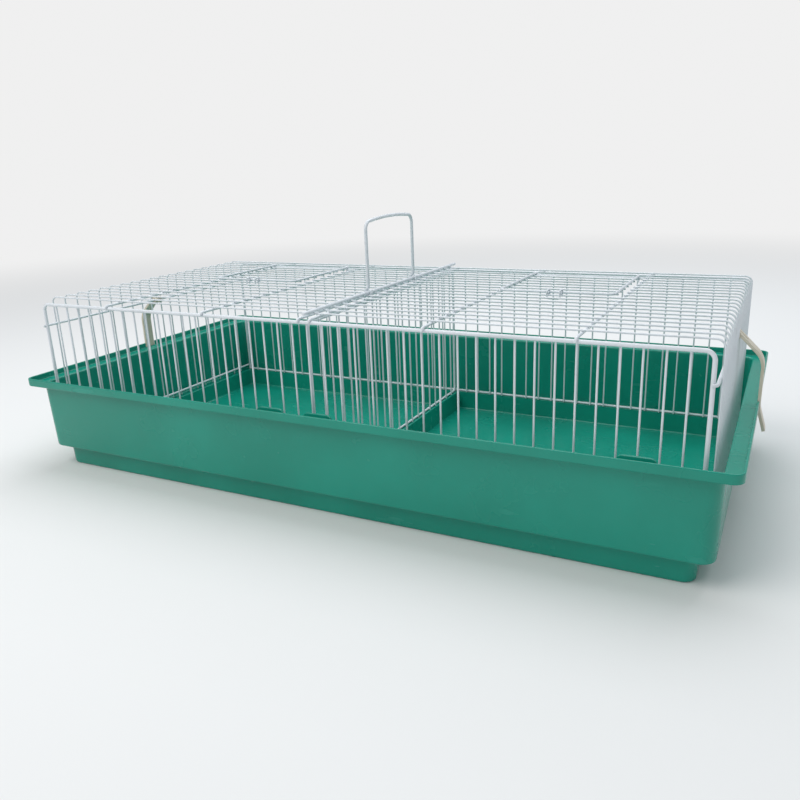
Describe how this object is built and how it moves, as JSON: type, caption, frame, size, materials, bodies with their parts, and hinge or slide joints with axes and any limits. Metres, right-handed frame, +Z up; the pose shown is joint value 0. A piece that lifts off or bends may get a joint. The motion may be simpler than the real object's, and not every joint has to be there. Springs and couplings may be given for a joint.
{
  "type": "bird transport cage",
  "caption": "Low bird transport cage: a stepped green plastic tray under a lift-off white wire top with a wire partition, roof doors, a carrying bail and end clips.",
  "frame": {"origin": "centre of the face that the tray stands on", "axes": "+X along the cage to the right, +Y from the front panel to the back, +Z up"},
  "size_m": [0.8584, 0.434, 0.305],
  "materials": {
    "tray_plastic": "glossy moulded plastic",
    "white_enamel": "gloss white coating on steel wire",
    "clip_plastic": "satin cream plastic"
  },
  "bodies": {
    "tray": {"tray": "tray_plastic"},
    "cage": {"front_frame_wire": "white_enamel", "front_sill_wire": "white_enamel", "front_bars": "white_enamel", "back_frame_wire": "white_enamel", "back_sill_wire": "white_enamel", "back_bars": "white_enamel", "roof_wires": "white_enamel", "carry_rod": "white_enamel", "partition_frame": "white_enamel", "partition_bars": "white_enamel", "left_end_wires": "white_enamel", "left_end_upper_rod": "white_enamel", "left_end_lower_rod": "white_enamel", "left_outer_rod": "white_enamel", "left_inner_rod": "white_enamel", "left_slot_rod": "white_enamel", "right_end_wires": "white_enamel", "right_end_upper_rod": "white_enamel", "right_end_lower_rod": "white_enamel", "right_outer_rod": "white_enamel", "right_inner_rod": "white_enamel", "right_slot_rod": "white_enamel"},
    "handle": {"handle": "white_enamel"},
    "left_door": {"left_door_frame": "white_enamel", "left_door_bars": "white_enamel"},
    "left_latch": {"left_door_latch": "white_enamel"},
    "left_clip": {"left_end_clip": "clip_plastic"},
    "right_door": {"right_door_frame": "white_enamel", "right_door_bars": "white_enamel"},
    "right_latch": {"right_door_latch": "white_enamel"},
    "right_clip": {"right_end_clip": "clip_plastic"}
  },
  "joints": [
    {"name": "cage_lift", "type": "slide", "parent": "tray", "child": "cage", "axis": [0, 0, 1], "range_m": [0, 0.14]},
    {"name": "handle_swing", "type": "hinge", "parent": "cage", "child": "handle", "pos_m": [0, 0, 0.22], "axis": [0, 1, 0], "range_deg": [-88, 88]},
    {"name": "left_door_lift", "type": "hinge", "parent": "cage", "child": "left_door", "pos_m": [-0.2065, 0.12933, 0.217], "axis": [-1, 0, 0], "range_deg": [0, 140]},
    {"name": "left_latch_lift", "type": "hinge", "parent": "left_door", "child": "left_latch", "pos_m": [-0.2065, -0.00539, 0.21996], "axis": [-1, 0, 0], "range_deg": [0, 140]},
    {"name": "left_clip_swing", "type": "hinge", "parent": "cage", "child": "left_clip", "pos_m": [-0.3935, 0, 0.1835], "axis": [0, 1, 0], "range_deg": [0, 70]},
    {"name": "right_door_lift", "type": "hinge", "parent": "cage", "child": "right_door", "pos_m": [0.2065, 0.12933, 0.217], "axis": [-1, 0, 0], "range_deg": [0, 140]},
    {"name": "right_latch_lift", "type": "hinge", "parent": "right_door", "child": "right_latch", "pos_m": [0.2065, -0.00539, 0.21996], "axis": [-1, 0, 0], "range_deg": [0, 140]},
    {"name": "right_clip_swing", "type": "hinge", "parent": "cage", "child": "right_clip", "pos_m": [0.3935, 0, 0.1835], "axis": [0, -1, 0], "range_deg": [0, 70]}
  ]
}
